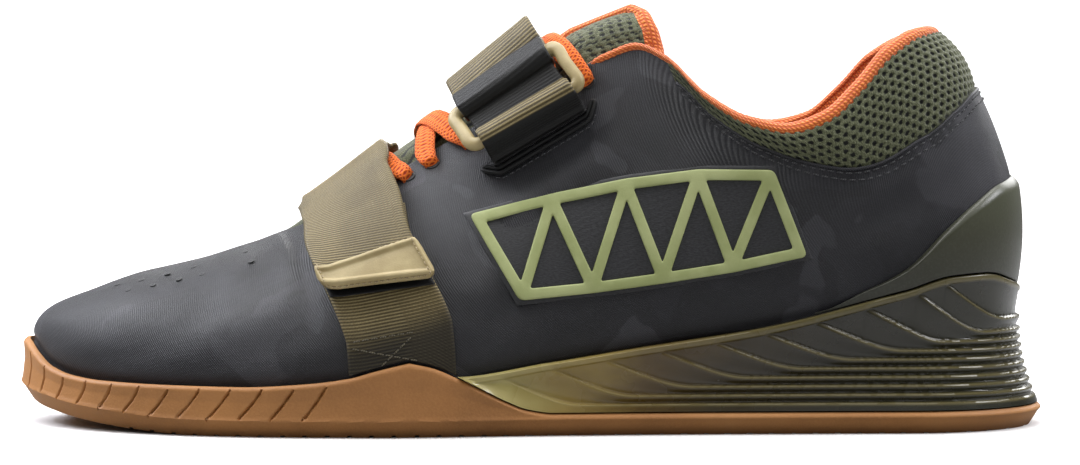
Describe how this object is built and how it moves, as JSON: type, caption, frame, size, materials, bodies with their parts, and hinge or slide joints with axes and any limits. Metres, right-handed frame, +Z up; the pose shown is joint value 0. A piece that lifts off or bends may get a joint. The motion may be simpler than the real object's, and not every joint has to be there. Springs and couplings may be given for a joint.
{
  "type": "weightlifting shoe",
  "caption": "Low weightlifting shoe with a raised ribbed heel wedge, a gum sole, a laced throat, two webbing straps, a pull tab and a ring.",
  "frame": {"origin": "on the floor, under the middle of the shoe's length and width", "axes": "+X towards the heel, -X towards the toe, -Y the lateral side, +Y the medial side, +Z up"},
  "size_m": [0.3, 0.1056, 0.1205],
  "materials": {
    "gum_rubber": "matt gum rubber",
    "wedge_tpu": "satin moulded TPU, pale at the front and dark olive at the heel",
    "counter_tpu": "satin olive TPU",
    "microfibre": "embossed microfibre with a low-contrast camouflage print",
    "insole_cloth": "knit cloth on foam",
    "tongue_mesh": "spacer mesh on foam",
    "webbing": "ribbed flat webbing",
    "dark_webbing": "black hook pad and welt",
    "beige_plastic": "satin moulded plastic",
    "pale_green_film": "raised moulded film",
    "lace_cord": "flat woven lace"
  },
  "bodies": {
    "root": {"outsole": "gum_rubber", "heel_wedge": "wedge_tpu", "upper": "microfibre", "heel_counter": "counter_tpu", "insole": "insole_cloth", "tongue": "tongue_mesh", "strap_base": "webbing", "strap_lower": "webbing", "strap_upper": "webbing", "ring_anchor": "webbing", "hook_pad": "dark_webbing", "slot_welt": "dark_webbing", "strap_tab": "beige_plastic", "strap_ring": "beige_plastic", "side_brace": "pale_green_film", "lace_1": "lace_cord", "lace_2": "lace_cord", "lace_3": "lace_cord", "lace_4": "lace_cord", "lace_5": "lace_cord"}
  },
  "joints": []
}
